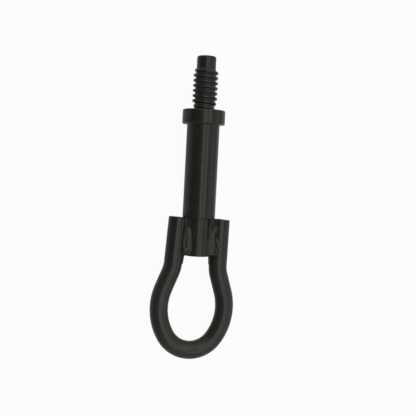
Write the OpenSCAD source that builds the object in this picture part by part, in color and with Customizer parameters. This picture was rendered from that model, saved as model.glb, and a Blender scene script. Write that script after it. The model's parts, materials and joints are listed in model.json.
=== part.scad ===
// Screw-in tow eye: a turned shank with a coarse left-hand thread, welded to a bent bar loop.
// The shank is drawn along Z with the thread up and its shoulder at zero, then laid down to rest.
// Laid down, the thread points along +Y and the side with the irregular weld faces up.

/* [Shank] */
// diameter of the thick plain stem
stem_d = 21.4; // [18:0.2:24]
// length of the stem from its shoulder to the collar
stem_len = 61.3; // [40:0.1:90]
// diameter of the thin end that sits between the limbs
spigot_d = 15.6; // [14:0.2:16.4]
// length of that thin end
spigot_len = 25.2; // [18:0.2:30]
// chamfer at the ends of the stem and the spigot
stem_chamfer = 0.5; // [0.3:0.1:0.8]

/* [Collar] */
// diameter of the collar that seats on the car
collar_d = 28; // [25:0.2:34]
// thickness of the collar
collar_t = 9.5; // [5:0.5:14]
// chamfer on both rims of the collar
collar_chamfer = 0.8; // [0.4:0.1:1.2]

/* [Thread] */
// diameter over the thread crests
thread_d = 16.3; // [15.6:0.1:17]
// diameter of the core at the thread root
root_d = 13.1; // [12.9:0.1:13.5]
// distance from one crest to the next
pitch = 3.34; // [3.3:0.02:4]
// direction in which the ridge starts at the collar end, seen from the tip
thread_start = 138; // [0:1:359]
// plain neck between the collar and the first thread
neck_len = 2.8; // [1:0.2:5]
// length of the threaded part, run-in and run-out included
thread_len = 24.1; // [16:0.1:30]
// part of a turn over which the ridge rises and fades
fade_turns = 0.55; // [0.3:0.05:1]
// width of the flat on a crest
crest_flat = 0.8; // [0.5:0.05:0.9]
// flank angle measured from a plane across the shank
flank_angle = 33; // [25:1:34]
// length of the chamfer from the core down to the pilot, where the ridge is cut off
lead_in = 0.4; // [0.3:0.1:1]

/* [Pilot] */
// diameter of the plain tip ahead of the thread
pilot_d = 12.6; // [11:0.1:12.8]
// length of the plain tip
pilot_len = 8.4; // [5:0.1:14]
// rounding at the free end of the tip
pilot_round = 1.3; // [0.6:0.1:2]

/* [Eye] */
// diameter of the bar the eye is bent from
bar_d = 12; // [10:0.2:13]
// clearance between spigot and limb where the eye pivots
limb_gap = 0.85; // [0.85:0.05:1.5]
// depth of that pivot below the shoulder
pivot_depth = 6; // [4:0.1:7]
// outward splay of each limb
limb_splay = 1.2; // [1.2:0.1:1.9]
// sideways lean of the eye against the shank
eye_lean = 2.2; // [0:0.1:2.4]
// sideways offset of the eye from the shank axis
eye_shift = 0.4; // [0:0.1:0.4]
// gap between the shoulder and the cut end of the shorter limb
end_gap = 0.4; // [0.1:0.1:1]
// chamfer on the cut ends of the bar
end_chamfer = 0.6; // [0.2:0.1:1]
// straight part of each limb below the pivot
limb_len = 24.3; // [22:0.1:34]
// centre-line radius of the outward bend
flare_r = 21; // [14:0.5:30]
// angle of the outward bend
flare_angle = 18; // [12:0.5:24]
// straight run between the outward bend and the side of the eye
flank_len = 11.4; // [6:0.2:20]
// centre-line radius of the side of the eye
side_r = 35.2; // [26:0.2:44]
// angle the side bends through
side_angle = 53.5; // [48:0.5:62]
// how much thinner the bar is drawn where it is bent
bend_thinning = 0.12; // [0.1:0.02:0.3]
// how far a full-size run reaches into the bend beside it
run_on = 0.4; // [0.2:0.1:0.5]

/* [Welds] */
// depth below the shoulder where the beads start
weld_top = 5; // [4:0.5:7]
// distance from the end of a bead to the end of the spigot
weld_end = 0.6; // [0.2:0.1:2]
// distance of a bead's centre line from the shank axis
weld_x = 8.3; // [8.1:0.1:8.6]
// unfilled root between a bead and the plane of the eye
weld_root = 0.2; // [0.1:0.1:0.4]
// radius of the even beads
bead_r = 3.3; // [3:0.1:3.6]
// radius of the irregular bead at its upper end
uneven_r_top = 2.9; // [2.8:0.1:3.4]
// radius of the irregular bead at its lower end
uneven_r_low = 3.7; // [3.5:0.1:4]
// radius of the low root run that fills each valley up to the shoulder
root_r = 1.7; // [1.4:0.1:2]
// distance from one weld ripple to the next, rounded to fit the bead
ripple = 2.6; // [2.2:0.1:3]
// diameter of the weld spatter ball on the spigot
spatter_d = 2; // [1.2:0.1:2.6]
// depth of the spatter ball below the shoulder
spatter_depth = 11.1; // [8:0.1:16]
// direction of the spatter ball from straight in front
spatter_angle = 30.5; // [20:0.5:36]

/* [Hidden] */
collar_top = stem_len + collar_t;
thread_low = collar_top + neck_len;
thread_high = thread_low + thread_len;
tip_z = thread_high + pilot_len;
pilot_r = pilot_d / 2;
bar_r = bar_d / 2;

// the eye in its own plane, as x and z of the bar's centre line, pivot at zero
limb_x = spigot_d / 2 + limb_gap + bar_r;
function ahead(p, h, len) = p + len * [cos(h), sin(h)];
function left_of(p, h, r) = p + r * [-sin(h), cos(h)];
function around(c, h, r) = c + r * [sin(h), -cos(h)];
h0 = -90 - limb_splay;
h1 = h0 - flare_angle;
h2 = h1 + side_angle;
p0 = [-limb_x, 0];
p1 = ahead(p0, h0, limb_len);
flare_c = left_of(p1, h0, -flare_r);
p2 = around(flare_c, h1, -flare_r);
p3 = ahead(p2, h1, flank_len);
side_c = left_of(p3, h1, side_r);
p4 = around(side_c, h2, side_r);
// the end arc closes the loop on the centre line, which gives its radius
end_r = p4.x / sin(h2);
end_c = [0, p4.y + end_r * cos(h2)];
run_on_angle = run_on / end_r * 180 / PI;
// how far each limb runs up from the pivot, left being -1, so that its square cut end meets the stem's rim
function run_up(side, gap) =
    let (t = limb_splay - side * eye_lean)
    let (out = limb_x + side * eye_shift - pivot_depth * sin(t) - stem_d / 2)
    (out * tan(t) - gap + pivot_depth + side * limb_x * sin(eye_lean)) / cos(t);

// lying at rest: the collar's rim and the far end of the loop both touch the ground
far_z = -pivot_depth + end_c.y * cos(eye_lean) - end_r;
rim_run = stem_len + collar_chamfer - far_z;
rim_reach = sqrt(pow(collar_d / 2, 2) + pow(rim_run, 2));
rest_angle = acos(bar_r / rim_reach) - atan2(rim_run, collar_d / 2);
lift = bar_r - far_z * sin(rest_angle);
// the middle of the outline goes to the origin
mid_x = side_c.y * sin(eye_lean) + eye_shift;
y_far = far_z * cos(rest_angle) - bar_r;
round_r = pilot_r - pilot_round;
y_tip = (tip_z - pilot_round) * cos(rest_angle) + round_r * sin(rest_angle) + pilot_round;
mid_y = (y_far + y_tip) / 2;

module lay_down() {
    translate([-mid_x, -mid_y, lift])
        rotate([rest_angle - 90, 0, 0])
            children();
}

// SHANK

module shank_body() {
    c = stem_chamfer;
    k = collar_chamfer;
    stem_r = stem_d / 2;
    spigot_r = spigot_d / 2;
    collar_r = collar_d / 2;
    rotate_extrude($fn = 96)
        polygon(concat(
            [[0, -spigot_len], [spigot_r - c, -spigot_len], [spigot_r, c - spigot_len]],
            [[spigot_r, 0], [stem_r - c, 0], [stem_r, c], [stem_r, stem_len]],
            [[collar_r - k, stem_len], [collar_r, stem_len + k]],
            [[collar_r, collar_top - k], [collar_r - k, collar_top]],
            [[root_d / 2, collar_top], [root_d / 2, thread_high - lead_in], [pilot_r, thread_high]],
            [for (a = [0:22.5:90]) [round_r + pilot_round * cos(a), tip_z - pilot_round * (1 - sin(a))]],
            [[0, tip_z]]
        ));
}

// The thread is one ridge wound left-handed on the core, fading into it at both ends.
thread_steps = 30;
step_count = floor(thread_len / pitch * thread_steps);
base_r = root_d / 2 - 0.3;
crest_h = thread_d / 2 - base_r;
base_half = min(crest_flat / 2 + crest_h * tan(flank_angle), pitch * 0.49);
edge = 0.25;

function fade(i) = min(1, i / (fade_turns * thread_steps), (step_count - i) / (fade_turns * thread_steps));
function ridge_section(i) =
    let (z = thread_low + pitch * i / thread_steps, a = thread_start - 360 * i / thread_steps)
    let (h = crest_h * (0.15 + 0.85 * fade(i)), w = base_half, e = crest_flat / 2)
    let (t = w - (w - e) * (1 - edge / crest_h))
    [for (q = [[0, -w], [0, w], [h * (1 - edge / crest_h), t], [h, e - 0.1], [h, 0.1 - e], [h * (1 - edge / crest_h), -t]])
        [(base_r + q.x) * cos(a), (base_r + q.x) * sin(a), min(z + q.y, thread_high - lead_in)]];

module thread_ridge() {
    n = 6;
    points = [for (i = [0:step_count]) each ridge_section(i)];
    sides = [for (i = [0:step_count - 1], j = [0:n - 1])
        let (a = i * n + j, b = i * n + (j + 1) % n)
        each [[a, b, b + n], [a, b + n, a + n]]];
    first = [for (j = [1:n - 2]) [0, j + 1, j]];
    last = [for (j = [1:n - 2]) [step_count * n, step_count * n + j, step_count * n + j + 1]];
    polyhedron(points, concat(sides, first, last));
}

module shank() {
    color("#2b2b2a")
        lay_down() {
            shank_body();
            thread_ridge();
        }
}

// EYE

module bar_run(p, h, len) {
    start = ahead(p, h, -run_on);
    translate([start.x, 0, start.y])
        rotate([0, 90 - h, 0])
            cylinder(d = bar_d, h = len + 2 * run_on, $fn = 48);
}

module bar_bend(c, r, from, sweep, d) {
    translate([c.x, 0, c.y])
        rotate([90, 0, 0])
            rotate([0, 0, from])
                rotate_extrude(angle = sweep, $fn = 160)
                    translate([r, 0])
                        circle(d = d, $fn = 48);
}

module limb(up) {
    top = ahead(p0, h0, -up);
    len = up + limb_len + run_on;
    c = end_chamfer;
    translate([top.x, 0, top.y])
        rotate([0, 90 - h0, 0])
            rotate_extrude($fn = 48)
                polygon([[0, 0], [bar_r - c, 0], [bar_r, c], [bar_r, len], [0, len]]);
}

module half_eye(up) {
    thin_d = bar_d - bend_thinning;
    limb(up);
    bar_bend(flare_c, flare_r, h1 + 90, flare_angle, thin_d);
    bar_run(p2, h1, flank_len);
    bar_bend(side_c, side_r, h1 - 90, side_angle, thin_d);
}

// The eye leans about its pivot: the left limb butts against the stem's rim, the right one stops short.
module eye_solid() {
    translate([eye_shift, 0, -pivot_depth])
        rotate([0, eye_lean, 0]) {
            half_eye(run_up(-1, 0.02));
            mirror([1, 0, 0])
                half_eye(run_up(1, end_gap));
            bar_bend(end_c, end_r, h2 - 90 - run_on_angle, 2 * run_on_angle - 2 * h2, bar_d);
        }
}

module eye_bar() {
    color("#272727")
        lay_down()
            eye_solid();
}

// WELDS

// A bead is a row of overlapping puddles in the valley between the spigot and one limb.
module puddles(side, face, r_top, r_low) {
    span = spigot_len - weld_end - weld_top - r_top - r_low;
    count = round(span / ripple);
    for (i = [0:count]) {
        r = r_top + (r_low - r_top) * i / count;
        translate([side * weld_x, face * (weld_root + r), -weld_top - r_top - span * i / count])
            sphere(r = r, $fn = 40);
    }
}

// Under the bead a low root run fills the valley from the shoulder down.
module root_run(side, face) {
    translate([side * (weld_x + 0.1), face * (weld_root + 0.25 + root_r), weld_end + root_r - spigot_len])
        cylinder(r = root_r, h = spigot_len - weld_end - root_r - 0.3, $fn = 40);
}

module bead(side, face, r_top, r_low) {
    color("#30302e")
        lay_down()
            difference() {
                union() {
                    puddles(side, face, r_top, r_low);
                    root_run(side, face);
                }
                translate([0, 0, -spigot_len])
                    cylinder(d = spigot_d, h = spigot_len, $fn = 96);
                eye_solid();
            }
}

module weld_front_left() {
    bead(-1, -1, bead_r, bead_r);
}

module weld_front_right() {
    bead(1, -1, uneven_r_top, uneven_r_low);
}

module weld_back_left() {
    bead(-1, 1, bead_r, bead_r);
}

module weld_back_right() {
    bead(1, 1, bead_r, bead_r);
}

module spatter() {
    color("#30302e")
        lay_down()
            difference() {
                rotate([0, 0, -spatter_angle])
                    translate([0, 0.2 - spigot_d / 2, -spatter_depth])
                        sphere(d = spatter_d, $fn = 32);
                translate([0, 0, -spigot_len])
                    cylinder(d = spigot_d, h = spigot_len, $fn = 96);
            }
}

shank();
eye_bar();
weld_front_left();
weld_front_right();
weld_back_left();
weld_back_right();
spatter();
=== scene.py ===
import bpy
import bmesh
import json
from math import atan2, cos, degrees, exp, hypot, pi, radians, sin, sqrt, tan
from mathutils import Matrix, Vector


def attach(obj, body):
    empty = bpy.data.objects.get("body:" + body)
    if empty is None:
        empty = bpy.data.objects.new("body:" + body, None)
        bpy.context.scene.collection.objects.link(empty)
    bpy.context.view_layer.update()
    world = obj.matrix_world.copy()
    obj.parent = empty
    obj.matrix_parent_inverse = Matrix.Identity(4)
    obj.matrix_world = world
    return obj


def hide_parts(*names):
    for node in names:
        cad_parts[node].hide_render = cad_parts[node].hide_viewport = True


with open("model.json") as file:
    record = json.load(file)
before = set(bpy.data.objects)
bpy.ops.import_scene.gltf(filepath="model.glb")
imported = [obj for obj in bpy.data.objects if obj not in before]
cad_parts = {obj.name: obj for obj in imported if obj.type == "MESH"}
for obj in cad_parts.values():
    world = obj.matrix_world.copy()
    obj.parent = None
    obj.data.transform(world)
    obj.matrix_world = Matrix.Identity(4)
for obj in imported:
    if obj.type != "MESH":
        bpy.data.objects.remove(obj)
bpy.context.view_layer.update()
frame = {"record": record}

# THE LIE OF THE PART
# The tow eye lies on its collar and the far end of its loop, so its shank points a little upwards.
# Every piece is drawn in millimetres with the shank along Y and its shoulder at zero, then laid down.
pilot = {m["name"]: m for m in frame["record"]["mounts"]}["pilot"]
shoulder_to_pilot = 101.25
shank_axis = Vector(pilot["axis"]).normalized()
shoulder = Vector(pilot["pos_m"]) - shank_axis * shoulder_to_pilot / 1000
rise = atan2(shank_axis.z, shank_axis.y)
lie = Matrix.Translation(shoulder) @ Matrix.Rotation(rise, 4, "X") @ Matrix.Scale(0.001, 4)
merge_gap = 0.0005


def settle(work, name, finish, stands_for):
    """Lay a finished bmesh down, give it its finish, and put it in place of its CAD nodes."""
    bmesh.ops.remove_doubles(work, verts=work.verts, dist=merge_gap)
    bmesh.ops.recalc_face_normals(work, faces=work.faces)
    bmesh.ops.transform(work, matrix=lie, verts=work.verts)
    mesh = bpy.data.meshes.new(name)
    work.to_mesh(mesh)
    work.free()
    mesh.materials.append(finish)
    for face in mesh.polygons:
        face.use_smooth = True
    piece = bpy.data.objects.new(name, mesh)
    bpy.context.collection.objects.link(piece)
    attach(piece, "root")
    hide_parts(*stands_for)


# BLACK FINISH
# Turned steel, bar and weld metal share one thin satin black coat that shows the metal's own form.
# It is uneven in tone and gloss and rubbed on crests. Its hollows are painted paler, partly dust and
# partly painted fill light against the shade in them, and it pales towards the loop's far end.
class Wire:
    """One output of a shader node, with arithmetic that adds Math nodes."""

    def __init__(self, shop, socket):
        self.shop, self.socket = shop, socket

    def maths(self, operation, *values):
        return self.shop.node("ShaderNodeMath", {"operation": operation}, values)

    def __add__(self, other):
        return self.maths("ADD", self, other)

    def __radd__(self, other):
        return self.maths("ADD", other, self)

    def __sub__(self, other):
        return self.maths("SUBTRACT", self, other)

    def __rsub__(self, other):
        return self.maths("SUBTRACT", other, self)

    def __mul__(self, other):
        return self.maths("MULTIPLY", self, other)

    def __rmul__(self, other):
        return self.maths("MULTIPLY", other, self)


class Finish:
    """A material under construction: node() adds any node and returns one of its outputs."""

    def __init__(self, name):
        self.material = bpy.data.materials.new(name)
        self.material.use_nodes = True
        self.tree = self.material.node_tree
        self.tree.nodes.clear()

    def node(self, kind, settings, inputs, output=0):
        made = self.tree.nodes.new(kind)
        for key, value in settings.items():
            setattr(made, key, value)
        pairs = inputs.items() if isinstance(inputs, dict) else enumerate(inputs)
        for key, value in pairs:
            if isinstance(value, Wire):
                self.tree.links.new(value.socket, made.inputs[key])
            else:
                made.inputs[key].default_value = value
        return Wire(self, made.outputs[output]) if made.outputs else None

    def between(self, value, low, high):
        """A soft mask: nought at low, one at high."""
        return self.node(
            "ShaderNodeMapRange", {"interpolation_type": "SMOOTHSTEP"}, {0: value, 1: low, 2: high})

    def blend(self, factor, a, b):
        """A colour between a and b."""
        return self.node("ShaderNodeMix", {"data_type": "RGBA"}, {"Factor": factor, "A": a, "B": b}, 2)

    def noise(self, place, scale, detail=2.0):
        return self.node(
            "ShaderNodeTexNoise", {}, {"Vector": place, "Scale": scale, "Detail": detail})


# The shares say how far each mask moves the tone, the dulls how far it moves the roughness.
# The first two numbers are where the coat starts and stops paling and dulling towards the loop's far end,
# in metres along the part.
loopward_from, loopward_to, bump_unit = -0.005, -0.06, 0.00001
deep_tone, pale_tone, cloud_share, loopward_share = 0.88, 2.0, 0.25, 0.5
crest_share, speck_share, streak_share = 0.7, 0.2, 0.12
loopward_dull, hollow_dull, cloud_dull, grain_dull, streak_dull = 0.08, 0.3, 0.1, 0.12, 0.05


def black_coat(
        name, colour, rubbed, dust_and_painted_fill, sheen, dullness, lines, line_depth, peel_depth, drawn=0, groove_dust_and_fill=0):
    """The coat over one kind of metal: its tone where whole and rubbed, its paler tone in hollows, which
    is dust and painted fill light, its sheen and its relief.

    lines is how fine its streaks are along each axis, and drawn how fine they are round the bar.
    The last argument says how much of that paler tone, dust and painted fill light, lies between the turns
    of the thread.
    """
    coat = Finish(name)
    place = coat.node("ShaderNodeTexCoord", {}, {}, "Object")
    level = coat.node("ShaderNodeMapping", {}, {"Vector": place, "Rotation": (-rise, 0, 0)})
    streak_place = coat.node("ShaderNodeVectorMath", {"operation": "MULTIPLY"}, [level, lines])
    if drawn:
        around = coat.node("ShaderNodeAttribute", {"attribute_name": "around"}, {}, "Vector")
        streak_place = coat.node(
            "ShaderNodeVectorMath", {"operation": "MULTIPLY_ADD"},
            [around, (drawn, drawn, drawn), streak_place])
    streak = coat.noise(streak_place, scale=1.0, detail=3.0)
    cloud = coat.noise(level, scale=110.0, detail=4.0)
    peel = coat.noise(level, scale=750.0)
    grain = coat.noise(level, scale=2600.0)
    specks = coat.between(coat.noise(level, scale=1500.0, detail=1.0), 0.7, 0.76)

    edge = coat.node("ShaderNodeNewGeometry", {}, {}, "Pointiness")
    crest = coat.between(edge, 0.52, 0.6)
    hollow = coat.between(1 - edge, 0.5, 0.56)
    # Hollows, and more so the thread's grooves, take the paler tone: dust, and painted fill light against
    # the shade there.
    if groove_dust_and_fill:
        groove = coat.node("ShaderNodeAttribute", {"attribute_name": "groove"}, {}, "Fac")
        hollow = hollow * 0.5 + groove * groove_dust_and_fill
    along = coat.node("ShaderNodeSeparateXYZ", {}, [level], 1)
    # The tone pales and the gloss dulls towards the loop's far end.
    loopward = coat.between(along, loopward_from, loopward_to)
    bare = crest * coat.between(cloud, 0.3, 0.6) * crest_share
    bare = bare + specks * speck_share + coat.between(streak, 0.6, 0.8) * streak_share

    whole = coat.blend(
        coat.between(cloud, 0.3, 0.7) * cloud_share + loopward * loopward_share,
        (*[c * deep_tone for c in colour], 1), (*[c * pale_tone for c in colour], 1))
    # The hollow mask paints hollows paler, as dust and as painted fill light against their shade.
    tone = coat.blend(bare, coat.blend(hollow, whole, (*dust_and_painted_fill, 1)), (*rubbed, 1))
    roughness = dullness + loopward * loopward_dull + hollow * hollow_dull
    for mask, dull in ((cloud, cloud_dull), (grain, grain_dull), (streak, streak_dull)):
        roughness = roughness + (mask - 0.5) * dull
    height = peel * peel_depth + grain * peel_depth * 0.5 + streak * line_depth
    bump = coat.node("ShaderNodeBump", {}, {"Strength": 1.0, "Distance": bump_unit, "Height": height})
    shader = coat.node("ShaderNodeBsdfPrincipled", {}, {
        "Base Color": tone, "Roughness": roughness, "Metallic": 0.0, "IOR": 1.5,
        "Specular IOR Level": 0.27, "Specular Tint": (*sheen, 1), "Normal": bump})
    coat.node("ShaderNodeOutputMaterial", {}, {"Surface": shader})
    return coat.material


# SHANK
# One steel piece turned in a lathe: pilot tip, coarse left-hand thread, collar, thick stem, thin spigot.
# The lathe shape is spun from its profile, then the thread is raised on it, with a soft crest and root.
stem_r, spigot_r, collar_r, pilot_r, root_r, crest_r = 10.7, 7.8, 14.0, 6.3, 6.55, 8.15
spigot_len, stem_len, collar_top, thread_low, thread_high, tip = 25.2, 61.3, 70.8, 73.6, 97.7, 106.1
# The ridge starts thread_start degrees round the shank. It fades over tip_fade_turns at the tip, and
# over run_out_turns at the collar, where it goes on for turns_below past the end of the full thread.
pitch, thread_start, lead_in = 3.34, 138, 0.4
ridge_half, flank_run, flank_swell = 1.45, 1.1, 0.85
tip_fade_turns, run_out_turns, turns_below = 0.55, 1.7, 0.8
# Crests take less of the dust and painted fill light than the roots, by the share given here.
rows_below, row_step, spokes, crest_dust_and_fill_lost, hair = 2.3, 0.1, 180, 0.6, 0.001

turned = bmesh.new()
groove = turned.verts.layers.float.new("groove")
outline = [(0, -spigot_len)]


def clip(value):
    """Hold a value between nought and one."""
    return max(0, min(1, value))


def rounded(corner, before, after, radius, steps=4):
    """Points round a corner of the profile, tangent to the lines from before and towards after."""
    corner = Vector(corner)
    start = corner + (Vector(before) - corner).normalized() * radius
    end = corner + (Vector(after) - corner).normalized() * radius
    for step in range(steps + 1):
        t = step / steps
        outline.append(tuple(start.lerp(corner, t).lerp(corner.lerp(end, t), t)))


corners = [
    ((spigot_r, -spigot_len), 0.7), ((spigot_r, 0), 0.25), ((stem_r, 0), 0.5), ((stem_r, stem_len), 0.4),
    ((collar_r, stem_len), 1.0), ((collar_r, collar_top), 1.0), ((root_r, collar_top), 0.5)]
for i, (corner, radius) in enumerate(corners):
    before = corners[i - 1][0] if i else (0, -spigot_len)
    after = corners[i + 1][0] if i + 1 < len(corners) else (root_r, thread_low)
    rounded(corner, before, after, radius)
ridge_end = thread_high - lead_in
rows = round((ridge_end - thread_low + rows_below) / row_step)
outline += [(root_r, ridge_end - row_step * (rows - i)) for i in range(rows + 1)]
rounded((pilot_r, thread_high), (root_r, ridge_end), (pilot_r, tip), radius=0.15, steps=2)
rounded((pilot_r, tip), (pilot_r, thread_high), (0, tip), radius=1.5, steps=8)
outline.append((0, tip))
chain = [turned.verts.new((r, s, 0)) for r, s in outline]
edges = [turned.edges.new(pair) for pair in zip(chain, chain[1:])]
bmesh.ops.spin(
    turned, geom=chain + edges, cent=(0, 0, 0), axis=(0, 1, 0), angle=2 * pi, steps=spokes,
    use_merge=True)
bmesh.ops.remove_doubles(turned, verts=turned.verts, dist=merge_gap)
last_turn = (thread_high - thread_low) / pitch
ridge_height = crest_r - root_r
for vert in turned.verts:
    r, s = hypot(vert.co.x, vert.co.z), vert.co.y
    if thread_low - rows_below - row_step < s < ridge_end + hair and abs(r - root_r) < hair:
        lead = (thread_start - degrees(atan2(-vert.co.z, vert.co.x))) / 360
        turn = lead + round((s - thread_low) / pitch - lead)
        off = abs((s - thread_low) / pitch - turn) * pitch
        fade = clip(min((turn + turns_below) / run_out_turns, (last_turn - turn) / tip_fade_turns))
        flank = clip((ridge_half - off) / flank_run)
        lift = ridge_height * fade * (3 * flank ** 2 - 2 * flank ** 3) ** flank_swell
        vert.co.x *= (r + lift) / r
        vert.co.z *= (r + lift) / r
        # The groove value says where the thread takes the paler tone of dust and painted fill light: most
        # in the root, less up the flanks.
        vert[groove] = fade * (1 - crest_dust_and_fill_lost * lift / ridge_height)
# The shank's dust colour is also painted fill light for its hollows and thread grooves.
shank_coat = black_coat(
    "shank_black", colour=(0.0098, 0.0099, 0.0096), rubbed=(0.05, 0.049, 0.045),
    dust_and_painted_fill=(0.065, 0.065, 0.06), sheen=(0.98, 1.0, 0.84), dullness=0.27,
    lines=(40, 3200, 40), line_depth=0.05, peel_depth=0.35, groove_dust_and_fill=0.24)
settle(turned, "turned_shank", shank_coat, ["shank"])

# EYE
# A round steel bar bent cold into a closed loop; its cut ends are chamfered and butt under the shoulder.
# One ring of the bar is pushed along each straight run and spun round each bend, then the ends are closed.
bar_r, limb_gap, pivot_depth, limb_splay = 6.0, 0.85, 6.0, 1.2
eye_lean, eye_shift, left_gap, right_gap, end_chamfer = 2.2, 0.4, 0.02, 0.4, 0.7
limb_len, flare_r, flare_angle, flank_len, side_r, side_angle = 24.3, 21.0, 18.0, 11.4, 35.2, 53.5
ring_sides, limb_steps, flare_steps, flank_steps, side_steps, end_steps = 56, 12, 12, 4, 26, 48
limb_x = spigot_r + limb_gap + bar_r


def run_up(side, gap):
    """How far a limb, left being -1, runs up from the pivot to its square cut end."""
    tilt = radians(limb_splay - side * eye_lean)
    out = limb_x + side * eye_shift - pivot_depth * sin(tilt) - stem_r
    return (out * tan(tilt) - gap + pivot_depth + side * limb_x * sin(radians(eye_lean))) / cos(tilt)


bent = bmesh.new()
around = bent.verts.layers.float_vector.new("around")
heading = radians(-90 - limb_splay)
ahead = Vector((cos(heading), sin(heading), 0))
here = Vector((-limb_x, 0, 0)) - ahead * run_up(-1, left_gap)
upright = (
    Matrix.Translation(here) @ Matrix.Rotation(heading + pi / 2, 4, "Z") @ Matrix.Rotation(pi / 2, 4, "X"))
ring = bmesh.ops.create_circle(bent, segments=ring_sides, radius=bar_r, matrix=upright)["verts"]
for vert in ring:
    vert[around] = upright.inverted() @ vert.co / bar_r
front = list({edge for vert in ring for edge in vert.link_edges})
first_rim = list(front)


def push(length, pieces):
    """Push the bar's end ring straight ahead."""
    global front, here
    for _ in range(pieces):
        grown = bmesh.ops.extrude_edge_only(bent, edges=front)["geom"]
        moved = [g for g in grown if isinstance(g, bmesh.types.BMVert)]
        bmesh.ops.translate(bent, verts=moved, vec=ahead * length / pieces)
        front = [g for g in grown if isinstance(g, bmesh.types.BMEdge)]
    here = here + ahead * length


def bend(radius, angle, steps):
    """Spin the end ring round a centre on its left, or on its right where the angle is negative."""
    global front, here, ahead
    side = Vector((-ahead.y, ahead.x, 0)) * radius * (1 if angle > 0 else -1)
    rim = list({vert for edge in front for vert in edge.verts})
    grown = bmesh.ops.spin(
        bent, geom=rim + front, cent=here + side, axis=(0, 0, 1), angle=radians(angle),
        steps=steps)["geom_last"]
    front = [g for g in grown if isinstance(g, bmesh.types.BMEdge)]
    turn = Matrix.Rotation(radians(angle), 3, "Z")
    here, ahead = here + side - turn @ side, turn @ ahead


push(limb_len + run_up(-1, left_gap), limb_steps)
bend(flare_r, -flare_angle, flare_steps)
push(flank_len, flank_steps)
bend(side_r, side_angle, side_steps)
end_angle = -degrees(atan2(ahead.y, ahead.x))
bend(-here.x / sin(radians(end_angle)), 2 * end_angle, end_steps)
bend(side_r, side_angle, side_steps)
push(flank_len, flank_steps)
bend(flare_r, -flare_angle, flare_steps)
push(limb_len + run_up(1, right_gap), limb_steps)
bmesh.ops.holes_fill(bent, edges=first_rim + front, sides=0)
bmesh.ops.bevel(
    bent, geom=first_rim + front, offset=end_chamfer, offset_type="OFFSET", segments=3, profile=0.5,
    affect="EDGES", material=-1)
lean = Matrix.Translation((eye_shift, -pivot_depth, 0)) @ Matrix.Rotation(-radians(eye_lean), 4, "Z")
bmesh.ops.transform(bent, matrix=lean, verts=bent.verts)
# The bar's dust colour is also painted fill light for its hollows.
bar_coat = black_coat(
    "bar_black", colour=(0.0104, 0.0111, 0.0102), rubbed=(0.055, 0.054, 0.05),
    dust_and_painted_fill=(0.032, 0.032, 0.03), sheen=(0.95, 1.0, 0.85), dullness=0.21,
    lines=(25, 25, 25), line_depth=2.6, peel_depth=0.6, drawn=4.5)
settle(bent, "bent_bar_eye", bar_coat, ["eye_bar"])

# WELDS
# Four welds fill the valleys between the spigot and the limbs, two seen from above and two below.
# Each is a skin that rises out of the two round surfaces, with the runs and puddle marks laid on it.
# A place on a weld is an x out from the shank's axis and an s along it; heights are over the eye's plane.
# The weld's dust colour is also painted fill light for its hollows.
weld_coat = black_coat(
    "weld_black", colour=(0.012, 0.0124, 0.0115), rubbed=(0.06, 0.058, 0.054),
    dust_and_painted_fill=(0.04, 0.04, 0.037), sheen=(1.0, 1.0, 0.87), dullness=0.33,
    lines=(300, 300, 300), line_depth=0.2, peel_depth=0.9)
weld_foot, weld_low, weld_head, no_fill = -31.0, -24.6, -0.25, -5
skin_columns, skin_rows, skin_base, least_height, sunk = 72, 190, 0.2, 0.25, 0.2
skin_left, skin_over_limb, spigot_foot, step_at, step_run = 3.2, 0.9, -25.0, -25.1, 0.5
tail_width, tail_run, tail_height, tail_top = 0.9, 6.4, 2.6, -24.4


def blend_max(a, b, k):
    """The higher of two heights, with the crease between them filled where they are within k."""
    mix = max(k - abs(a - b), 0) / k
    return max(a, b) + mix * mix * k / 4


def limb_axis(side, s):
    """How far the limb's centre line is from the shank's at s along it."""
    return limb_x + side * eye_shift - (s + pivot_depth) * tan(radians(limb_splay - side * eye_lean))


def weld(name, side, face, node, body, melt=(0.5, 0.3)):
    """Skin one valley; body(x, s) is the weld's height, melt how deep it fills its creases.

    side is -1 on the left and face -1 below; node is the CAD node that the skin stands for.
    Below the spigot's foot only a thin tail is left, along the inner side of the limb.
    """
    skin = bmesh.new()
    bmesh.ops.create_grid(skin, x_segments=skin_columns, y_segments=skin_rows, size=0.5)
    for vert in skin.verts:
        s = weld_foot + (weld_head - weld_foot) * (vert.co.y + 0.5)
        limb = limb_axis(side, s)
        inner = limb - bar_r
        tail = tail_width * max(0, (s - weld_foot) / tail_run)
        beside = clip((s - step_at) / step_run)
        left = skin_left * beside + (inner - min(tail, tail_width)) * (1 - beside)
        x = left + (limb + skin_over_limb - left) * (vert.co.x + 0.5)
        spigot = sqrt(max(spigot_r ** 2 - x ** 2, 0)) if s > spigot_foot else 0
        bar = sqrt(max(bar_r ** 2 - (x - limb) ** 2, 0)) if x > inner else 0
        fillet = 0
        if s < tail_top and inner - tail < x < inner + 1:
            fillet = tail_height * sqrt(max(0, 1 - ((inner - x) / max(tail, 0.01)) ** 2))
        crease = melt[0] if x < spigot_r + 0.1 else melt[1]
        top = blend_max(max(spigot - sunk, bar - sunk, fillet), body(x, s), crease)
        vert.co = (side * x, s, face * max(top, least_height))
    base = bmesh.ops.extrude_face_region(skin, geom=skin.faces[:])["geom"]
    for vert in [g for g in base if isinstance(g, bmesh.types.BMVert)]:
        vert.co.z = face * skin_base
    settle(skin, name, weld_coat, [node])


def strokes(x, s, drawn):
    """Soft lines, each from one place to another with a width and a height; a cut's is below nought."""
    total = 0
    for start, end, width, height in drawn:
        a, b, p = Vector(start), Vector(end), Vector((x, s))
        t = clip((p - a).dot(b - a) / (b - a).length_squared)
        total += height * exp(-((p - a.lerp(b, t)).length / width) ** 2)
    return total


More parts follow.
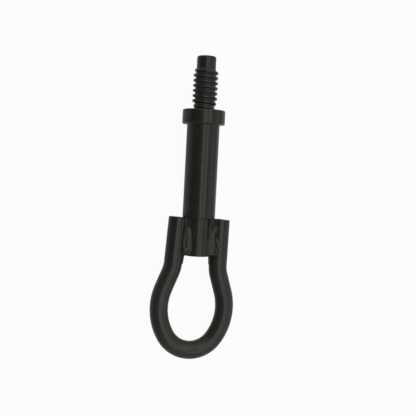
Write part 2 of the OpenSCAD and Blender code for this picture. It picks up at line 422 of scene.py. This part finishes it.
def loaf(x, s, middle, half, low, level, slope, crown):
    """A flat-topped bead that narrows to both ends and stands on the low fill under it."""
    widest, above, below, fullness = -16, 10.4, 8.7, 0.35
    along = abs(s - widest) / (above if s > widest else below)
    swell = 1 - along ** (2 if s > widest else 4)
    across = abs(x - middle) / (half * sqrt(swell)) if swell > 0 else 2
    if across >= 1:
        return low
    top = level - slope * (x - middle) + crown * sqrt(1 - across ** 3)
    return low + (top - low) * swell ** fullness


def even_bead(x, s):
    """The beads of the hidden side: even, with a puddle mark every ripple."""
    middle, root_height, ripple, ripple_height, ripple_bow = 8.3, 2.9, 2.6, 0.13, 0.035
    puddle = ripple_height * sin(2 * pi * (s / ripple + ripple_bow * (x - middle) ** 2))
    low = root_height if s > weld_low else no_fill
    return loaf(x, s, middle, half=3.0, low=low, level=5.2, slope=0.15, crown=0.8) + puddle


almond_ridges = [((6.0, -9), (5.9, -19.5), 0.4, 0.12), ((8.3, -9), (8.2, -19.5), 0.5, 0.2)]
almond_slot = [((9.3, -14.8), (9.25, -19.2), 0.4, -0.55)]
almond_lumps = [
    ((9.9, -21.0), (9.5, -21.3), 0.7, 0.35), ((7.2, -21.7), (6.9, -22.0), 0.6, 0.35),
    ((7.9, -23.5), (7.7, -23.7), 0.6, 0.4), ((8.6, -22.4), (6.8, -20.6), 0.35, -0.3)]


def almond_bead(x, s):
    """The bead on the left: swollen, with two ridges, a slot and a lumpy end."""
    root_x, root_height, root_slope, marks_over_root = 9.3, 3.8, 0.4, 0.3
    low = root_height + root_slope * (root_x - x) if s > weld_low else no_fill
    body = loaf(x, s, middle=8.05, half=3.2, low=low, level=5.85, slope=0.1, crown=0.4)
    if body > low + marks_over_root:
        body += strokes(x, s, almond_ridges + almond_slot + almond_lumps)
    return body


flat_dip = [((10.8, -10.2), (10.4, -12), 1.3, -0.65)]
flat_cuts = [
    ((10.5, -14.6), (12.1, -19), 0.45, -0.2), ((12.1, -19), (12.9, -22), 0.4, -0.3),
    ((8.4, -17.6), (8.4, -18.2), 0.4, -0.4)]


def flat_root(x, s):
    """The root run under the weld on the right: it climbs to the limb, then drops away."""
    root_x, root_height, climb, ramp_end, drop = 7.3, 3.15, 0.29, 11.2, 2
    if s <= weld_low:
        return no_fill
    return root_height + climb * (min(x, ramp_end) - root_x) - drop * max(0, x - ramp_end)


def flat_fill(x, s):
    """The low fill over that root: level at the limb, sinking towards the spigot, with a dip."""
    toe, toe_height, sink, sag, softness = 10.5, 4.95, 0.13, 0.01, 0.3
    short = toe - x
    fill = toe_height - sink * (short + sqrt(short ** 2 + softness)) - sag * max(0, short) ** 2
    return fill + strokes(x, s, flat_dip)


def flat_shelf(x, s):
    """The shelf: weld metal run up onto the limb."""
    top, foot, middle = Vector((11.6, -14.2)), Vector((12.9, -19.2)), 12.5
    height, climb, half, drop = 5.65, 0.1, 0.75, 2
    nearest = top.lerp(foot, clip((top.y - s) / (top.y - foot.y)))
    return height + climb * (x - middle) - drop * max(0, (Vector((x, s)) - nearest).length - half)


def flat_weld(x, s):
    """The weld on the right: a low fill above, a flat patch below, and a shelf run up onto the limb."""
    patch_head, patch_blend, patch_height = -13.4, 1.8, 4.6
    climb, climb_from, climb_head, climb_blend = 0.2, 9, -17, 3
    head, head_drop, head_slant, slant_from = -5.6, 0.5, 0.2, 11
    foot_run, foot_drop, root_blend, shelf_blend = 0.6, 3, 0.8, 0.4
    fill = flat_fill(x, s)
    patch = patch_height + climb * max(0, x - climb_from) * clip((climb_head - s) / climb_blend)
    body = fill + (patch - fill) * clip((patch_head - s) / patch_blend)
    body -= head_drop * max(0, s - head + head_slant * (slant_from - x))
    body -= foot_drop * max(0, weld_low + foot_run - s)
    body = blend_max(body, flat_root(x, s), root_blend)
    return blend_max(body, flat_shelf(x, s), shelf_blend) + strokes(x, s, flat_cuts)


weld("weld_bead_front_left", -1, 1, "weld_front_left", almond_bead, melt=(0.5, 1.0))
weld("weld_bead_front_right", 1, 1, "weld_front_right", flat_weld, melt=(2.3, 1.2))
weld("weld_bead_back_left", -1, -1, "weld_back_left", even_bead)
weld("weld_bead_back_right", 1, -1, "weld_back_right", even_bead)

# SPATTER
# A drop of weld metal thrown onto the spigot from the left weld,
# frozen there as a low ball sunk a little into the steel.
drop_angle, drop_depth, drop_sunk = 30.5, 11.3, 0.2
drop_shape = (0.95, 1.0, 0.9, 1)
drop = bmesh.new()
bmesh.ops.create_icosphere(drop, subdivisions=4, radius=1.0)
on_spigot = (
    Matrix.Rotation(-radians(drop_angle), 4, "Y")
    @ Matrix.Translation((0, -drop_depth, spigot_r - drop_sunk)))
bmesh.ops.transform(drop, matrix=on_spigot @ Matrix.Diagonal(drop_shape), verts=drop.verts)
settle(drop, "spatter_drop", weld_coat, ["spatter"])

# FLOOR
# A plain white sheet: the camera sees it white, the coat's gloss sees it dimmer,
# and a small share of plain paper in it keeps the part's shadow.
sheet_half, paper_tone, seen_by_camera, seen_in_gloss = 3, 0.55, 0.95, 0.3
sheet = bmesh.new()
bmesh.ops.create_grid(sheet, x_segments=1, y_segments=1, size=sheet_half)
floor_mesh = bpy.data.meshes.new("floor")
sheet.to_mesh(floor_mesh)
sheet.free()
floor = bpy.data.objects.new("floor", floor_mesh)
bpy.context.collection.objects.link(floor)
paper = Finish("white_paper")
camera_ray, gloss_ray, glass_ray = [
    paper.node("ShaderNodeLightPath", {}, {}, ray)
    for ray in ("Is Camera Ray", "Is Glossy Ray", "Is Transmission Ray")]
seen = camera_ray * seen_by_camera + gloss_ray * seen_in_gloss + glass_ray * seen_in_gloss
plain = paper.node("ShaderNodeBsdfDiffuse", {}, {"Color": (paper_tone, paper_tone, paper_tone, 1)})
glow = paper.node("ShaderNodeEmission", {}, {"Color": (1, 1, 1, 1), "Strength": 1.0})
lit = paper.node("ShaderNodeMixShader", {}, [seen, plain, glow])
paper.node("ShaderNodeOutputMaterial", {}, {"Surface": lit})
floor_mesh.materials.append(paper.material)

# LIGHT
# Two long strips side by side over the part, a wide panel on its right, one beyond each end, a dim room.
# Each is placed by its angle from straight up, in the plane across the part, or along it where turned.
room_light = 0.2
world = bpy.data.worlds.new("room")
world.use_nodes = True
background = world.node_tree.nodes["Background"]
background.inputs["Color"].default_value = (1, 1, 1, 1)
background.inputs["Strength"].default_value = room_light
bpy.context.scene.world = world


def soft_box(name, angle, width, brightness, turned=0, length=1.5, away=0.9):
    """A long panel; its width is an angle too, and brightness is its radiance."""
    lamp = bpy.data.lights.new(name, "AREA")
    across = 2 * away * tan(radians(width / 2))
    lamp.shape, lamp.size, lamp.size_y = "RECTANGLE", across, length
    lamp.energy = brightness * pi * across * length
    holder = bpy.data.objects.new(name, lamp)
    holder.matrix_world = (
        Matrix.Rotation(radians(turned), 4, "Z") @ Matrix.Rotation(radians(angle), 4, "Y")
        @ Matrix.Translation((0, 0, away)))
    bpy.context.collection.objects.link(holder)


soft_box("strip_over", angle=-3.5, width=15, brightness=2.7)
soft_box("strip_right", angle=22, width=14, brightness=2.7)
soft_box("panel_right", angle=63, width=40, brightness=0.82)
soft_box("panel_beyond_tip", angle=64, width=48, brightness=0.9, turned=90)
soft_box("panel_beyond_loop", angle=64, width=48, brightness=0.6, turned=-90)

# CAMERA
# It looks down on the part from a little to its left, with the thread end up and leaning right.
# It is turned about the shank's shoulder, then moved back and aside in its own view.
tip_left, tip_back, spin = 14.2, 1.2, 2.94
aim_right, aim_up, distance = 0.00615, 0.00646, 0.6
camera = bpy.data.cameras.new("camera")
camera.sensor_width = 36
camera.lens = 78.9
camera.clip_start = 0.01
eye = bpy.data.objects.new("camera", camera)
turned_view = (
    Matrix.Rotation(-radians(tip_left), 4, "Y") @ Matrix.Rotation(-radians(tip_back), 4, "X")
    @ Matrix.Rotation(radians(spin), 4, "Z"))
eye.matrix_world = (
    lie @ Matrix.Scale(1000, 4) @ turned_view @ Matrix.Translation((aim_right, aim_up, distance)))
bpy.context.collection.objects.link(eye)
bpy.context.scene.camera = eye
bpy.context.scene.view_settings.view_transform = "Standard"
